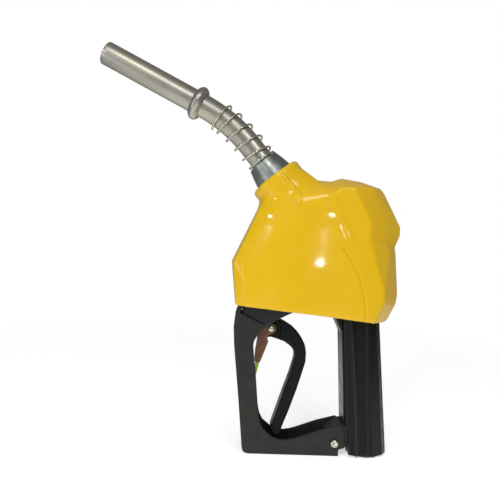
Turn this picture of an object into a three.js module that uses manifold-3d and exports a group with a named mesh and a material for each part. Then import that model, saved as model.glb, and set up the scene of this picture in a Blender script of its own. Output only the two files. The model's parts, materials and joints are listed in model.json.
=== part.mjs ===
// Automatic shut-off fuel nozzle, standing on its lever guard and on the hose end of its handle.
// Millimetres, +Z up. The spout points to -X, the handle is at +X, and Y = 0 is the plane that the
// lever swings in. The origin is under the middle of the overall length, on the surface it stands on.
import * as THREE from "three";
import { mergeVertices } from "three/addons/utils/BufferGeometryUtils.js";
import { ConvexGeometry } from "three/addons/geometries/ConvexGeometry.js";
import Module from "manifold-3d";

const wasm = await Module();
wasm.setup();

// ---------------------------------------------------------------- driving dimensions
const GAP = 0.3; // between pieces that touch
const RUN = 0.3; // radial clearance of a piece that slides or turns

// Axes in the XZ plane: a point on each, and its angle above +X in degrees.
const HANDLE = { x: 109.7, z: 0, angle: 93.4 };
const NECK = { x: 23.2, z: 243.6, angle: 129.5 };
const TIP = { x: -47.3, z: 307.9, angle: 153 };
const LATCH = { x: 14, z: 128, angle: 45 }; // starts at the lever's pivot
const VALVE = { x: 21.3, z: 114.9, angle: 29 }; // starts at the tip of the valve stem

const spout = { outer: 10.5, inner: 8.8, tipLength: 94.6, bendRadius: 145, root: -20 };
const stopRing = { outer: 15.4, width: 10 };
const anchor = { mean: 13.2, wire: 1.8, turns: 5.5, start: 23.8, closedStart: 0.18, closedEnd: 0.22 };
const collar = { narrow: 14.4, wide: 18, height: 17.3, seat: 15.7, seatDepth: 14 };
const neck = { outer: 19.5, bore: 12.5, end: -3 };
const handle = { outer: 15.5, bore: 12.2, flow: 10, threadDepth: 22 };
const skin = 3; // thickness of the soft cover
const neckOutside = neck.outer + GAP + skin + 1.2;
const guard = { half: 14.3, inner: 11.8, wall: 3 };
const ear = { half: 11.4, inner: 8.6 };
const lever = { armHalf: 8, bossHalf: 5.5, pivotRadius: 6.2 };
const rivet = { x: 23.8, z: 108.3, radius: 1.8 };
const drum = { radius: 23.5, base: 111, flange: 119, pitch: 20.3 };
const chamber = { outer: 16.5, bore: 13, seat: 70, end: 104 };
const stem = { radius: 2.75, length: 82 };
const guardScrew = { x: 81.5, z: 11.4, radius: 2.2 };
const frontScrewZ = 137;

// ---------------------------------------------------------------- helpers
const v2 = (pairs) => pairs.map(([x, y]) => new THREE.Vector2(x, y));
const radians = THREE.MathUtils.degToRad;

function solid(geometry) {
  const bare = new THREE.BufferGeometry();
  bare.setAttribute("position", geometry.getAttribute("position").clone());
  if (geometry.index) bare.setIndex(geometry.index.clone());
  const merged = mergeVertices(bare, 1e-4);
  const make = (triVerts) =>
    new wasm.Manifold(
      new wasm.Mesh({ numProp: 3, vertProperties: merged.attributes.position.array, triVerts }),
    );
  const corners = new Uint32Array(merged.index.array);
  const made = make(corners);
  return made.volume() >= 0 ? made : make(corners.slice().reverse());
}

function geometryOf(manifold) {
  const mesh = manifold.getMesh();
  const geometry = new THREE.BufferGeometry();
  geometry.setAttribute("position", new THREE.BufferAttribute(new Float32Array(mesh.vertProperties), 3));
  geometry.setIndex(new THREE.BufferAttribute(new Uint32Array(mesh.triVerts), 1));
  geometry.computeVertexNormals();
  return geometry;
}

const join = (solids) => solids.reduce((a, b) => a.add(b));
const cut = (from, solids) => solids.reduce((a, b) => a.subtract(b), from);

// A solid of revolution about +Z, from [radius, height] points that close on the axis or on themselves.
function turned(profile, segments = 20) {
  return solid(new THREE.LatheGeometry(v2(profile), segments).rotateX(Math.PI / 2));
}

const rod = (radius, from, to, segments = 20) =>
  turned([[0, from], [radius, from], [radius, to], [0, to]], segments);
const tube = (outer, inner, from, to, segments = 20) =>
  turned([[inner, from], [outer, from], [outer, to], [inner, to], [inner, from]], segments);

// An outline of [x, z] points, extruded along Y.
function plate(outline, fromY, toY) {
  const geometry = new THREE.ExtrudeGeometry(new THREE.Shape(v2(outline)), {
    depth: toY - fromY,
    bevelEnabled: false,
  });
  return solid(geometry.rotateX(Math.PI / 2).translate(0, toY, 0));
}

// A rod along Y at a point of the XZ plane.
const crossRod = (x, z, radius, fromY, toY, segments = 16) =>
  solid(
    new THREE.CylinderGeometry(radius, radius, toY - fromY, segments).translate(x, (fromY + toY) / 2, z),
  );

// The smallest convex solid round [x, y, z] points.
const wrap = (points) => solid(new ConvexGeometry(points.map((p) => new THREE.Vector3(...p))));

// Turns a solid made about +Z so that it lies along an axis.
const leanOf = (axis) => radians(90 - axis.angle);
function along(axis, made) {
  const matrix = new THREE.Matrix4().makeRotationY(leanOf(axis)).setPosition(axis.x, 0, axis.z);
  return made.transform(matrix.elements);
}

// The point at a distance along an axis.
function pointOn(axis, distance) {
  const a = radians(axis.angle);
  return [axis.x + distance * Math.cos(a), axis.z + distance * Math.sin(a)];
}

class Helix extends THREE.Curve {
  constructor(radius, from, to, turns) {
    super();
    Object.assign(this, { radius, from, to, turns });
  }
  getPoint(t, target = new THREE.Vector3()) {
    const a = 2 * Math.PI * this.turns * t;
    return target.set(
      this.radius * Math.cos(a),
      this.radius * Math.sin(a),
      THREE.MathUtils.lerp(this.from, this.to, t),
    );
  }
}

function swept(section, path, steps) {
  return solid(new THREE.ExtrudeGeometry(section, { steps, extrudePath: path, bevelEnabled: false }));
}

function circle(radius, sides) {
  const points = Array.from({ length: sides }, (_, i) => {
    const a = (2 * Math.PI * i) / sides;
    return new THREE.Vector2(radius * Math.cos(a), radius * Math.sin(a));
  });
  return new THREE.Shape(points);
}

const coil = (mean, wire, from, to, turns) =>
  swept(circle(wire / 2, 4), new Helix(mean, from + wire / 2, to - wire / 2, turns), Math.round(turns * 8));

// ---------------------------------------------------------------- materials
const finish = (color, roughness, metalness) =>
  new THREE.MeshStandardMaterial({ color, roughness, metalness });
const yellowVinyl = finish(0xe0b01c, 0.25, 0);
const blackRubber = finish(0x1b1a19, 0.5, 0);
const blackPlastic = finish(0x2a2826, 0.6, 0);
const paintedCasting = finish(0x2c2d30, 0.55, 0.2);
const spoutAlloy = finish(0xa8a49c, 0.35, 1);
const darkZinc = finish(0x5e6361, 0.45, 1);
const brightSteel = finish(0xb8b8b4, 0.25, 1);
const yellowZinc = finish(0xa8795c, 0.35, 0.9);
const brass = finish(0xb08d4a, 0.35, 1);
const nitrile = finish(0x161616, 0.7, 0);

// ---------------------------------------------------------------- the part's tree
const nozzle = new THREE.Group();

function framed(axis) {
  const group = new THREE.Group();
  group.position.set(axis.x, 0, axis.z);
  group.rotation.y = leanOf(axis);
  nozzle.add(group);
  return group;
}

function put(name, made, material, group = nozzle) {
  const mesh = new THREE.Mesh(geometryOf(made), material);
  mesh.name = name;
  group.add(mesh);
}

const onNeck = framed(NECK);
const onTip = framed(TIP);
const onLatch = framed(LATCH);
const onValve = framed(VALVE);

// ---------------------------------------------------------------- spout
// The centre line runs from the open end, round the bend and into the neck.
function spoutLine(sideways = 0, shorter = 0, root = spout.root) {
  const inward = ({ angle }) => new THREE.Vector3(-Math.cos(radians(angle)), 0, -Math.sin(radians(angle)));
  const tipway = inward(TIP);
  const neckway = inward(NECK);
  const turn = radians(TIP.angle - NECK.angle);
  const tangent = spout.bendRadius * Math.tan(turn / 2);
  const ring = new THREE.Vector3(TIP.x, 0, TIP.z);
  const mouth = new THREE.Vector3(NECK.x, 0, NECK.z);
  // where the two straight stretches would cross
  const apart = mouth.clone().sub(ring);
  const reach = (apart.x * neckway.z - apart.z * neckway.x) / (tipway.x * neckway.z - tipway.z * neckway.x);
  const corner = ring.clone().addScaledVector(tipway, reach);
  const aside = (way) => new THREE.Vector3(way.z, 0, -way.x).multiplyScalar(sideways);
  const open = ring.clone().addScaledVector(tipway, shorter - spout.tipLength).add(aside(tipway));
  const bendFrom = corner.clone().addScaledVector(tipway, -tangent).add(aside(tipway));
  const bendTo = corner.clone().addScaledVector(neckway, tangent).add(aside(neckway));
  const inner = mouth.clone().addScaledVector(neckway, -root).add(aside(neckway));
  const middle = corner.clone().add(
    aside(tipway).add(aside(neckway)).multiplyScalar(0.5 / Math.cos(turn / 2) ** 2),
  );
  const line = new THREE.CurvePath();
  line.add(new THREE.LineCurve3(open, bendFrom));
  line.add(new THREE.QuadraticBezierCurve3(bendFrom, middle, bendTo));
  line.add(new THREE.LineCurve3(bendTo, inner));
  return line;
}

function spoutTube() {
  const section = circle(spout.outer, 18);
  section.holes.push(new THREE.Path(circle(spout.inner, 18).getPoints()));
  const sensingHole = along(TIP, rod(1.6, 0, 24, 10).rotate([0, -90, 0]).translate([0, 0, 78]));
  return swept(section, spoutLine(), 14).subtract(sensingHole);
}

function stopRingSolid() {
  const inner = spout.outer + GAP;
  const half = stopRing.width / 2;
  const rise = stopRing.outer - inner;
  const dome = Array.from({ length: 9 }, (_, i) => {
    const a = (Math.PI * i) / 8;
    return [inner + rise * Math.sin(a) ** 0.7, -half * Math.cos(a)];
  });
  return turned([...dome, dome[0]], 28);
}

// How far along its length a spring has got after a share t of its turns: the pitch grows from
// nothing over its first turn, stays even, and closes again at the end.
function springTravel(t) {
  const { closedStart, closedEnd } = anchor;
  const even = 1 / (1 - closedStart / 2 - closedEnd / 2);
  if (t < closedStart) return (even * t * t) / (2 * closedStart);
  if (t > 1 - closedEnd) return 1 - (even * (1 - t) ** 2) / (2 * closedEnd);
  return even * (t - closedStart / 2);
}

// The spring's centre line follows the bend: a helix in the section plane that travels along the spout.
class BentHelix extends THREE.Curve {
  constructor(line, from, to) {
    super();
    Object.assign(this, { line, from, to });
  }
  getPoint(t, target = new THREE.Vector3()) {
    const u = THREE.MathUtils.lerp(this.from, this.to, springTravel(t));
    const centre = this.line.getPointAt(u);
    const way = this.line.getTangentAt(u);
    const under = new THREE.Vector3(way.z, 0, -way.x);
    const a = 2 * Math.PI * anchor.turns * t;
    return target
      .copy(centre)
      .addScaledVector(under, anchor.mean * Math.cos(a))
      .add(new THREE.Vector3(0, -anchor.mean * Math.sin(a), 0));
  }
}

function anchorSpring() {
  const line = spoutLine();
  const length = line.getLength();
  const outerEnd = (spout.tipLength + anchor.start) / length;
  const innerEnd = (length + spout.root - collar.height - anchor.wire / 2 - GAP) / length;
  const wire = new BentHelix(line, outerEnd, innerEnd);
  return swept(circle(anchor.wire / 2, 5), wire, Math.round(anchor.turns * 11));
}

function vacuumTube() {
  const outer = 2.4;
  const section = circle(outer, 6);
  section.holes.push(new THREE.Path(circle(1.5, 6).getPoints()));
  return swept(section, spoutLine(spout.inner - outer - 0.8, 8, spout.root + 2), 12);
}

function collarSolid() {
  const bore = spout.outer + GAP;
  return turned(
    [
      [bore, -collar.seatDepth], [collar.seat, -collar.seatDepth], [collar.seat, neck.end + GAP],
      [collar.wide, neck.end + GAP], [collar.wide, 0.6], [collar.narrow + 0.3, collar.height - 1.6],
      [collar.narrow - 0.9, collar.height], [bore, collar.height], [bore, -collar.seatDepth],
    ],
    32,
  );
}

const spoutSeal = () => tube(collar.seat - 0.2, spout.outer + GAP, -17.4, -collar.seatDepth - GAP, 20);

function spoutLockScrew() {
  const head = rod(2.5, 16.2, 19, 12);
  const socket = rod(1.3, 17.6, 20, 6);
  return head.subtract(socket).rotate([90, 0, 0]).translate([0, 0, -9]);
}

put("spout_tube", spoutTube(), spoutAlloy);
put("spout_stop_ring", stopRingSolid(), spoutAlloy, onTip);
put("anchor_spring", anchorSpring(), brightSteel);
put("vacuum_tube", vacuumTube(), brass);
put("spout_collar", collarSolid(), darkZinc, onNeck);
put("spout_seal", spoutSeal(), nitrile, onNeck);
put("spout_lock_screw", spoutLockScrew(), brightSteel, onNeck);

// ---------------------------------------------------------------- check valve, inside the neck
put("check_valve_seat", tube(neck.bore - GAP, 7, -47, -43), brass, onNeck);
put(
  "check_valve_poppet",
  turned([[0, -46], [5.5, -46], [6.4, -42.7], [9.6, -42.7], [9.6, -40.5], [3, -39], [2, -33], [0, -33]]),
  brass,
  onNeck,
);
put("check_valve_spring", coil(8.2, 1.2, -40.2, spout.root - GAP, 3), brightSteel, onNeck);

// ---------------------------------------------------------------- cast body
const screwAngles = [45, 135, 225, 315];

function drumHoles(from, to) {
  return screwAngles.map((a) => rod(2.5, from, to, 12).translate([drum.pitch, 0, 0]).rotate([0, 0, a]));
}

function riser(radius) {
  const low = pointOn(VALVE, 60);
  const high = pointOn(NECK, -68);
  const length = Math.hypot(high[0] - low[0], high[1] - low[1]);
  const angle = THREE.MathUtils.radToDeg(Math.atan2(high[1] - low[1], high[0] - low[0]));
  return along({ x: low[0], z: low[1], angle }, rod(radius, 0, length));
}

function castShell() {
  const wall = 3.5;
  const handleTube = along(HANDLE, rod(handle.outer, -5, 152, 32));
  const neckTube = along(NECK, join([rod(neck.outer, -30, neck.end, 32), rod(neck.bore + wall, -76, -29)]));
  const valveTube = along(VALVE, join([rod(chamber.outer, 50, chamber.end), rod(8.5, 34.3, 51, 16)]));
  const drumSide = rod(drum.radius, drum.base, drum.flange, 32);
  const bowl = along(LATCH, join([drumSide, rod(19.5, 99, drum.base + 0.1)]));
  const earPlate = [
    [-1.2, 150], [-1.2, 127], [-2.5, 125], [-2.5, 119], [4, 113], [20, 110.6], [26.7, 114.8], [31.7, 118.1],
    [45, 124.7], [60, 132], [66, 150],
  ];
  const spine = [
    [-1.2, 131], [-1.2, 146], [-6, 152], [-7.5, 166], [13, 210], [26, 224], [56, 230], [96, 200], [80, 136],
    [50, 126.8], [28, 126.8], [16.8, 138], [2, 138],
  ];
  return join([
    handleTube,
    neckTube,
    valveTube,
    bowl,
    riser(neck.bore + wall),
    plate(earPlate, -ear.half, ear.half),
    plate(spine, -5, 5),
    plate(guardLug, -guard.inner + GAP, guard.inner - GAP),
  ]);
}

// The lug at the hose end that the guard's rear fork closes on.
const guardLug = [[74.6, 6.5], [74.6, 19.6], [86.4, 27], [100, 27], [100, 6.5]];

function flowPassages() {
  return [
    along(HANDLE, rod(handle.bore, -10, handle.threadDepth, 28)),
    along(HANDLE, rod(handle.flow, 0, 158)),
    along(VALVE, rod(chamber.bore, chamber.seat, chamber.end + 10)),
    along(VALVE, rod(8.5, 52, chamber.seat + 1)),
    riser(9.5),
    along(NECK, rod(neck.bore, -72, 10)),
  ];
}

function castBody() {
  const ground = plate([[-200, -20], [200, -20], [200, 0], [-200, 0]], -100, 100);
  const leverSlot = [[-20, 95], [-20, 138], [16.8, 138], [28, 126.8], [46, 126.8], [46, 95]];
  const latchBoss = along(LATCH, rod(11, 9, 101));
  const hollow = cut(castShell(), flowPassages());
  // the latch's bore crosses the flow passage inside its own boss
  const whole = hollow.add(cut(latchBoss, [along(VALVE, rod(12.9, 40, chamber.end))]));
  return cut(whole, [
    ground,
    plate(leverSlot, -ear.inner, ear.inner),
    along(VALVE, rod(7, -5, 34.3, 16)),
    along(VALVE, rod(5.5, 34, 46, 16)),
    along(VALVE, rod(stem.radius + RUN, 45, 53, 16)),
    along(LATCH, rod(5.8, 5, 64)),
    along(LATCH, rod(8, 30, 70)),
    along(LATCH, rod(2 + RUN, 69, 106, 12)),
    along(LATCH, rod(16.5, 103, 130, 24)),
    ...drumHoles(107, 130).map((hole) => along(LATCH, hole)),
    along(NECK, rod(collar.seat + GAP, -18, 0, 28)),
    along(NECK, rod(2.8, 10, 25, 12).rotate([90, 0, 0]).translate([0, 0, -9])),
    crossRod(guardScrew.x, guardScrew.z, guardScrew.radius + GAP, -20, 20),
    rod(2.3, -4, 16, 12).rotate([0, 90, 0]).translate([0, 0, frontScrewZ]),
  ]);
}

put("nozzle_body", castBody(), paintedCasting);

// ---------------------------------------------------------------- soft cover over the body
// Convex blocks of its outside. Each layer is an outline and the half thickness that it has there.
function inset(outline, by) {
  const count = outline.length;
  const area = outline.reduce((sum, [x, z], i) => {
    const [nx, nz] = outline[(i + 1) % count];
    return sum + x * nz - nx * z;
  }, 0);
  const turn = Math.sign(area);
  const sides = outline.map(([x, z], i) => {
    const [nx, nz] = outline[(i + 1) % count];
    const long = Math.hypot(nx - x, nz - z);
    const way = [(nx - x) / long, (nz - z) / long];
    return { from: [x - by * turn * way[1], z + by * turn * way[0]], way };
  });
  return sides.map((side, i) => {
    const last = sides[(i + count - 1) % count];
    const cross = last.way[0] * side.way[1] - last.way[1] * side.way[0];
    const gap = [side.from[0] - last.from[0], side.from[1] - last.from[1]];
    const step = (gap[0] * side.way[1] - gap[1] * side.way[0]) / cross;
    return [last.from[0] + last.way[0] * step, last.from[1] + last.way[1] * step];
  });
}

function layered(layers, by) {
  const points = layers.flatMap(({ outline, half }) =>
    inset(outline, by).flatMap(([x, z]) => [[x, half - by, z], [x, by - half, z]]),
  );
  return wrap(points);
}

const coverBody = [
  {
    half: 5,
    outline: [
      [-8, 122], [-8.8, 129], [-13, 167.4], [9.9, 216.9], [26, 234], [61.4, 241.4], [84, 240], [112, 222],
      [132.6, 180.6], [135.4, 141.5], [134, 133.2], [130, 128.6], [124, 124.8], [122, 118.5],
      [121, 108], [10, 108],
    ],
  },
  {
    half: 18,
    outline: [
      [-7, 122], [-7.6, 131], [-11, 167.2], [10.5, 214], [26, 230], [60, 236], [84, 236], [108, 216],
      [124, 180], [127, 141.5], [126, 134], [121, 127], [117, 119], [115, 108], [10, 108],
    ],
  },
  {
    half: 25,
    outline: [
      [4, 122], [-1, 150], [-1, 166], [18, 210], [36, 226], [60, 231], [84, 232], [106, 204], [120, 142],
      [118, 130], [111, 120], [109, 108], [14, 108],
    ],
  },
  {
    half: 31.5,
    outline: [
      [34, 122], [24, 160], [36, 204], [50.9, 224.5], [76.7, 228.5], [88, 222], [100, 200], [103.4, 190.3],
      [108.1, 174.4], [114.1, 153.3], [117, 143.8], [116.6, 137.5], [114, 131.9], [106, 124], [104, 108],
      [40, 108],
    ],
  },
  { half: 33, outline: [[50, 150], [54, 196], [76, 204], [92, 184], [96, 150], [80, 136]] },
];

// the lobe over the diaphragm, and the end of the main valve below it
const coverLobe = [
  {
    half: 5,
    outline: [
      [66, 238], [82, 243.6], [99.2, 241.2], [107.4, 238], [117.8, 235.3], [121.1, 231.2], [134.8, 204.6],
      [136.3, 201.7], [136.2, 194.2], [131, 181], [90, 170], [60, 220],
    ],
  },
  {
    half: 20,
    outline: [[64, 226], [80, 237], [96, 237], [108, 234], [120, 206], [121, 194], [116, 182], [90, 170]],
  },
  {
    half: 32.5,
    outline: [
      [60, 220], [76.7, 229.9], [79.9, 232.7], [89.3, 232], [94.5, 222.1], [103.6, 204.1], [103.6, 190.3],
      [98, 180], [80, 180],
    ],
  },
];

// The shoulder that runs from the neck into the top of the body.
function coverShoulder(by) {
  const ring = Array.from({ length: 24 }, (_, i) => {
    const a = (2 * Math.PI * i) / 24;
    const across = (neckOutside - by) * Math.cos(a);
    const [x, z] = pointOn(NECK, -9 - by);
    const lean = leanOf(NECK);
    return [x + across * Math.cos(lean), (neckOutside - by) * Math.sin(a), z - across * Math.sin(lean)];
  });
  const foot = [[62, 12, 239.4], [56, 22, 229.5], [8, 12, 212], [22, 20, 206]];
  const feet = foot.flatMap(([x, y, z]) => [[x, y - by, z - by], [x, by - y, z - by]]);
  return wrap([...ring, ...feet]);
}

function coverBlocks(by) {
  const lip = by ? 6 : 0.6;
  const collarSleeve = turned(
    [
      [0, -30], [neckOutside - by, -30], [neckOutside - by, lip - 2],
      [neckOutside - 1.5 - by, lip], [0, lip],
    ],
    32,
  );
  return join([
    layered(coverBody, by),
    layered(coverLobe, by),
    coverShoulder(by),
    along(NECK, collarSleeve),
  ]);
}

function coverSolid() {
  // The mouth for the handle and the guard is cut along a line that drops towards the handle.
  const below = plate(
    [[-60, 133.4], [-8, 129.4], [43, 125.6], [111, 118.9], [180, 113], [180, 60], [-60, 60]], -60, 60,
  );
  const inner = cut(coverBlocks(skin), [
    along(NECK, tube(neck.outer + 12, collar.wide + GAP, neck.end + GAP, 20, 32)),
  ]);
  return cut(coverBlocks(0), [inner, below]);
}

put("body_cover", coverSolid(), yellowVinyl);

// ---------------------------------------------------------------- handle sleeve
function gripSleeve() {
  // half of the section, from the front face round to the back, at the hose end and under the cover
  const foot = [[-18.8, 12], [-16.8, 15.4], [-8.6, 18], [5.4, 17.6], [13.7, 13.4], [18.4, 7]];
  const head = [[-17.4, 11], [-15.8, 14], [-11.6, 16.2], [3.8, 16.6], [12.6, 12.6], [16.9, 6.6]];
  const ring = (half, height) => half.flatMap(([x, y]) => [[x, y, height], [x, -y, height]]);
  const outside = along(HANDLE, wrap([...ring(foot, -3), ...ring(foot, 9), ...ring(head, 124)]));
  const ground = plate([[0, -20], [200, -20], [200, 1.6], [0, 1.6]], -60, 60);
  const lugRoom = plate([[60, -5], [93.6, -5], [93.6, 25], [90, 25], [90, 27.3], [60, 27.3]], -60, 60);
  const lugSlot = plate([[60, -5], [104, -5], [104, 27.3], [60, 27.3]], -guard.inner, guard.inner);
  const flareSide = [[85.4, 108], [79, 121.4], [79, 124], [96, 124], [96, 108]];
  const flare = wrap(flareSide.flatMap(([x, z]) => [[x, -11, z], [x, 11, z]]));
  return cut(outside.add(flare), [
    along(HANDLE, rod(handle.outer + GAP, -20, 140, 32)),
    ground,
    lugRoom,
    lugSlot,
  ]);
}

put("grip_sleeve", gripSleeve(), blackRubber);

// ---------------------------------------------------------------- lever guard
function guardSolid() {
  const outer = [
    [-4, 144], [-4, 133], [-5.2, 128.9], [-8, 123], [-9.3, 110.4], [-8.4, 94.3], [-3.5, 49.1], [0.9, 4.4],
    [2.2, 1.4], [5.2, 0], [85.4, 0], [85.2, 5.6], [90.4, 6.9], [90.2, 22], [88.9, 25.2], [86.1, 27],
    [68.2, 22.2], [50, 15.5], [44, 13.7], [37.9, 12.9], [32.5, 13.3], [28, 14.9], [19.2, 21.9], [16, 28],
    [14.5, 35.2], [11.8, 63.3], [9.3, 84], [8.4, 93.8], [9, 97.8], [10.7, 101.2], [15.3, 107.5],
    [18.6, 110.9], [18.3, 112.3], [-3.9, 122.6], [-1.5, 128], [-1.5, 144],
  ];
  const left = [[-1.5, 160], [-1.5, 129], [-3.1, 127], [-5, 123], [-6.3, 110.4], [-5.4, 94.3], [-0.5, 49.1]];
  const pocket = [...left, [3.9, 4.6], [5.4, guard.wall], [120, guard.wall], [120, 160]];
  const tabSide = [[-20, 128.6], [-20, 160], [20, 160], [20, 128.6]];
  return cut(plate(outer, -guard.half, guard.half), [
    plate(tabSide, -20, -8.3),
    plate(tabSide, 8.3, 20),
    plate(pocket, -guard.inner, guard.inner),
    crossRod(guardScrew.x, guardScrew.z, guardScrew.radius + GAP, -20, 20),
    rod(2.3, -8, 2, 12).rotate([0, 90, 0]).translate([0, 0, frontScrewZ]),
  ]);
}

// A pan-head screw along +Z, with its head's underside at 0 and a cross recess.
function panScrew(shank, length, head, height) {
  const body = turned(
    [
      [0, -length], [shank, -length], [shank, 0], [head, 0],
      [head, height * 0.5], [head * 0.6, height], [0, height],
    ],
    12,
  );
  const slot = (x, y) => solid(new THREE.BoxGeometry(x, y, height).translate(0, 0, height));
  return cut(body, [slot(head * 1.1, 0.9), slot(0.9, head * 1.1)]);
}

function guardNut() {
  const nut = turned([[2.6, 0], [4.2, 0], [4.2, 2.6], [2.6, 2.6], [2.6, 0]], 6);
  return nut.rotate([-90, 0, 0]).translate([guardScrew.x, guard.half + GAP, guardScrew.z]);
}

put("lever_guard", guardSolid(), blackPlastic);
put(
  "guard_rear_screw",
  panScrew(guardScrew.radius, 2 * guard.half + 3.2, 3.5, 2.2)
    .rotate([90, 0, 0])
    .translate([guardScrew.x, -guard.half - GAP, guardScrew.z]),
  brightSteel,
);
put("guard_rear_nut", guardNut(), brightSteel);
put(
  "guard_front_screw",
  panScrew(2, 15, 3.4, 1.5).rotate([0, -90, 0]).translate([-4.8, 0, frontScrewZ]),
  brightSteel,
);

// ---------------------------------------------------------------- main valve
const hexagon = (radius, from, to) => rod(radius, from, to, 6);

put(
  "valve_stem",
  turned(
    [[0, 0], [1.6, 0.5], [2.5, 1.6], [stem.radius, 2.8], [stem.radius, stem.length], [0, stem.length]],
    16,
  ),
  brightSteel,
  onValve,
);
put(
  "packing_nut",
  join([hexagon(6.2, 30, 34), rod(5.2, 33.9, 37, 16)]).subtract(rod(stem.radius + RUN, 20, 60, 16)),
  brass,
  onValve,
);
put("stem_packing", tube(5.2, stem.radius + RUN, 37.3, 43, 16), nitrile, onValve);
put("poppet_seal", tube(11.2, stem.radius + RUN, 70.4, 72.2), nitrile, onValve);
put(
  "main_poppet",
  join([rod(11.5, 72.5, 76), rod(6, 75.9, stem.length + 2)]).subtract(
    rod(stem.radius + RUN, 60, stem.length + GAP, 16),
  ),
  brass,
  onValve,
);
put("main_valve_spring", coil(9, 1.6, 76.4, 97.6, 4), brightSteel, onValve);
put(
  "main_valve_cap",
  join([
    rod(12.6, 98, 99.8),
    rod(11, 99.7, 102.6),
    rod(12.6, 102.5, 104.4),
    rod(15.6, 104.3, 106),
    hexagon(13.5, 105.9, 111),
  ]),
  paintedCasting,
  onValve,
);
put("cap_seal", tube(12.6, 11.3, 100.1, 102.2), nitrile, onValve);

// ---------------------------------------------------------------- latch and diaphragm
const ballAngles = [90, 210, 330];
const ballHeight = 58;

function latchPlunger() {
  const tang = join([rod(5, 0, 12, 20), solid(new THREE.CylinderGeometry(5, 5, 6, 20))]).intersect(
    solid(new THREE.BoxGeometry(20, 6, 40)),
  );
  const body = join([tang, rod(5.5, 11, 66), rod(7.6, 52, 55)]);
  return cut(body, [
    solid(new THREE.CylinderGeometry(2.3, 2.3, 20, 16)),
    rod(2 + RUN, 40, 70, 12),
    ...ballAngles.map((a) =>
      rod(1.7, 2, 9, 10).rotate([0, 90, 0]).rotate([0, 0, a]).translate([0, 0, ballHeight]),
    ),
  ]);
}

put("latch_plunger", latchPlunger(), brightSteel, onLatch);
put("plunger_spring", coil(6.7, 0.9, 30.4, 51.6, 5), brightSteel, onLatch);
put("latch_ring", tube(7.7, 5.8, 64.4, 69.6), brightSteel, onLatch);
ballAngles.forEach((angle, i) => {
  const a = radians(angle);
  const ball = solid(new THREE.SphereGeometry(1.4, 8, 6));
  const placed = ball.translate([4 * Math.cos(a), 4 * Math.sin(a), ballHeight]);
  put(`latch_ball_${i + 1}`, placed, brightSteel, onLatch);
});
put(
  "latch_pin",
  turned([[0, 42], [2, 42], [2, 122.7], [4, 122.7], [4, 124.2], [0, 124.2]], 12),
  brightSteel,
  onLatch,
);
put("diaphragm", cut(tube(23.3, 2 + RUN, 119.3, 120.9, 24), drumHoles(113, 123)), nitrile, onLatch);
put("diaphragm_plate", tube(9.5, 2 + RUN, 121.2, 122.4), brass, onLatch);
put("diaphragm_spring", coil(6.6, 1, 122.7, 133.4, 3), brightSteel, onLatch);

function diaphragmCap() {
  const dome = [
    [0, 121.2], [23.5, 121.2], [23.5, 124.4], [16.5, 124.4], [14, 134.5], [11, 136.5], [0, 136.5],
  ];
  const outside = turned(dome, 24);
  const inside = turned([[0, 113], [15.6, 113], [15.6, 122.2], [13.4, 123.4], [11, 133.8], [0, 133.8]], 20);
  return cut(outside, [inside, ...drumHoles(113, 140)]);
}

put("diaphragm_cap", diaphragmCap(), paintedCasting, onLatch);
screwAngles.forEach((a, i) => {
  const screw = panScrew(2.1, 13, 3, 2).translate([drum.pitch, 0, 124.7]).rotate([0, 0, a]);
  put(`cap_screw_${i + 1}`, screw, brightSteel, onLatch);
});

// ---------------------------------------------------------------- lever
const leverBack = [
  [33, 115.8], [36.8, 114], [42.8, 110.3], [47.6, 105.7], [51.4, 100.8], [54.3, 95], [55.6, 88], [55.3, 80],
  [52, 68.4], [48, 55], [41.8, 37.1], [38.4, 28.2], [35, 19.2],
];
const leverFront = [
  [27.6, 16.8], [25.6, 21], [30.8, 36.8], [36.5, 54.6], [41.2, 68.1], [44.9, 81.4], [45.3, 86], [43.8, 90.8],
  [39.9, 94.6], [35.1, 97.7], [31.5, 98.8],
];

// An arc of [x, z] points round a centre, in degrees, for a rounded end.
function arc(x, z, radius, from, to, steps) {
  return Array.from({ length: steps + 1 }, (_, i) => {
    const a = radians(from + ((to - from) * i) / steps);
    return [x + radius * Math.cos(a), z + radius * Math.sin(a)];
  });
}

function leverSolid() {
  const armSide = [...leverBack, ...arc(30.8, 17.6, 3.9, -30, -160, 4), ...leverFront];
  const arm = plate(armSide, -lever.armHalf, lever.armHalf);
  const boss = plate(
    [
      ...arc(LATCH.x, LATCH.z, lever.pivotRadius, 200, -20, 9), [19.2, 119.8], [23.2, 110.4], [31, 116.4],
      [34, 115.2], [34, 97.8], [23.6, 101], ...arc(21.5, 106.5, 6.2, 270, 190, 4), [11, 114],
    ],
    -lever.bossHalf,
    lever.bossHalf,
  );
  const stemGroove = [[18.4, 119.4], [23.1, 110.3], [31, 111.8], [43, 113], [43, 124], [20, 128]];
  return cut(join([arm, boss]), [
    plate(stemGroove, -3.4, 3.4),
    // the fork that straddles the plunger's tang
    plate(arc(LATCH.x, LATCH.z, 7, 0, 360, 16).slice(1), -3.3, 3.3),
    crossRod(LATCH.x, LATCH.z, 2.3, -10, 10),
    crossRod(rivet.x, rivet.z, rivet.radius + GAP, -10, 10),
    crossRod(rivet.x, rivet.z, 4.2, 3.2, 10),
  ]);
}

put("lever", leverSolid(), blackPlastic);
put(
  "lever_pivot_pin",
  crossRod(LATCH.x, LATCH.z, 2, -lever.bossHalf - 2.4, lever.bossHalf + 2.4),
  brightSteel,
);

// ---------------------------------------------------------------- hold-open clip on the lever
const clip = { inner: 5.9, outer: 7, tongue: 3 };

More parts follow.
